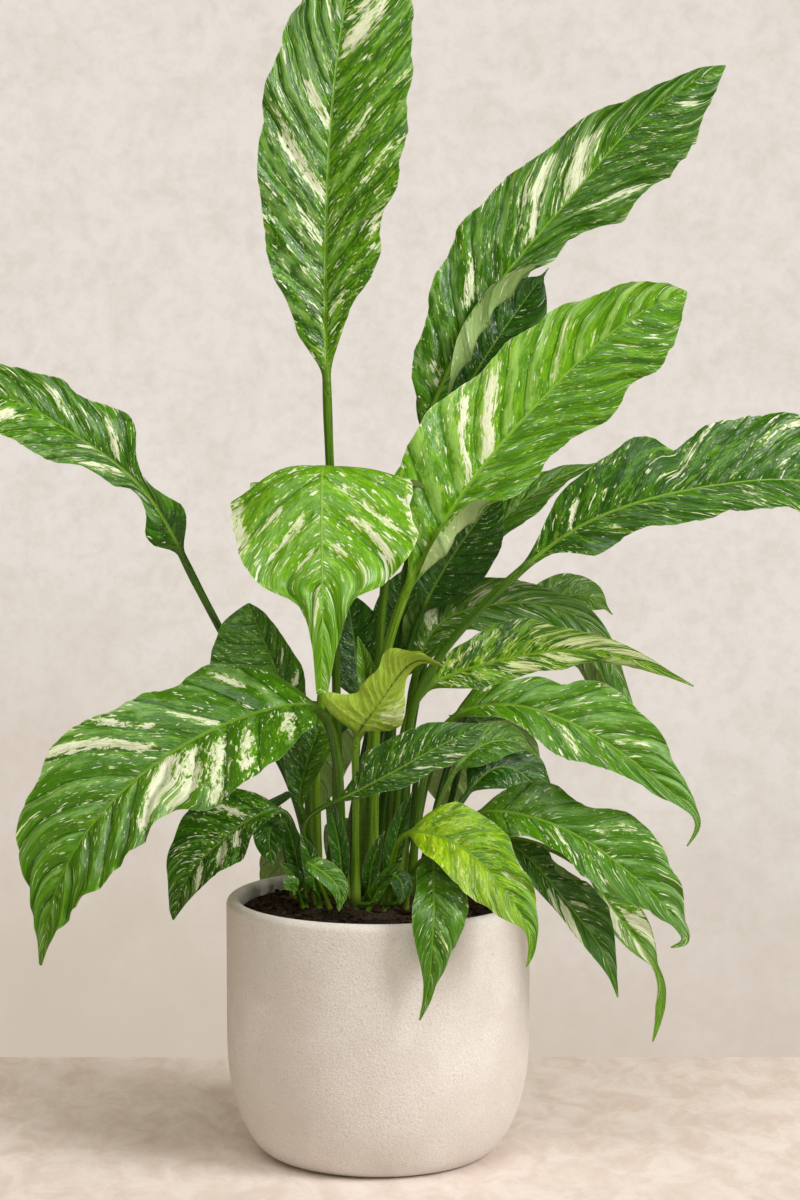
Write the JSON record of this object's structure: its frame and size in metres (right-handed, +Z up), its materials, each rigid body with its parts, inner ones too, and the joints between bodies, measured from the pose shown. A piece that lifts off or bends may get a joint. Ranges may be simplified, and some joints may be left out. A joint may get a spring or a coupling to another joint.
{
  "type": "potted peace lily",
  "caption": "Variegated peace lily in a round stoneware pot: arching pointed leaves on slim stalks rising from soil.",
  "frame": {"origin": "centre of the pot's flat underside, where it stands", "axes": "+Z up out of the pot; the plant's best side faces -Y; +X to the right seen from there"},
  "size_m": [0.5404, 0.3136, 0.7521],
  "materials": {
    "pot": "matte",
    "soil": "matte",
    "crown": "matte",
    "leaf_bright": "satin",
    "leaf_dark": "satin",
    "leaf_yellow": "satin",
    "leaf_pale": "satin"
  },
  "bodies": {
    "root": {"pot": "pot", "soil": "soil", "crown": "crown", "leaf_top_centre": "leaf_bright", "leaf_upper_right": "leaf_dark", "leaf_upper_right_inner": "leaf_dark", "leaf_right_large": "leaf_bright", "leaf_right_side": "leaf_dark", "leaf_left_side": "leaf_dark", "leaf_front_arching": "leaf_bright", "leaf_left_large": "leaf_dark", "leaf_young_curled": "leaf_pale", "leaf_left_upright": "leaf_dark", "leaf_left_low": "leaf_dark", "leaf_left_rim": "leaf_dark", "leaf_left_inner": "leaf_bright", "leaf_centre_dark": "leaf_dark", "leaf_right_variegated": "leaf_bright", "leaf_right_middle": "leaf_dark", "leaf_right_back_dark": "leaf_dark", "leaf_far_back_small": "leaf_dark", "leaf_front_yellow": "leaf_yellow", "leaf_front_hanging": "leaf_dark", "leaf_lower_right": "leaf_dark", "leaf_lower_right_under": "leaf_dark", "leaf_lower_right_far": "leaf_bright", "leaf_right_back_pale": "leaf_pale", "leaf_right_back_low": "leaf_dark", "leaf_behind_right_large": "leaf_dark", "leaf_behind_right_inner": "leaf_dark", "leaf_inner_slim": "leaf_bright", "leaf_inner_dark_left": "leaf_dark", "leaf_inner_dark_right": "leaf_dark", "leaf_soil_front": "leaf_bright", "leaf_soil_left": "leaf_bright", "leaf_soil_right": "leaf_dark", "leaf_back_high": "leaf_dark", "leaf_back_left": "leaf_dark", "leaf_back_left_low": "leaf_dark", "leaf_back_right_low": "leaf_dark", "leaf_back_upper": "leaf_dark", "leaf_back_right": "leaf_dark", "leaf_back_arching": "leaf_dark", "leaf_back_centre": "leaf_bright", "leaf_back_low": "leaf_dark", "leaf_back_low_left": "leaf_bright"}
  },
  "joints": []
}
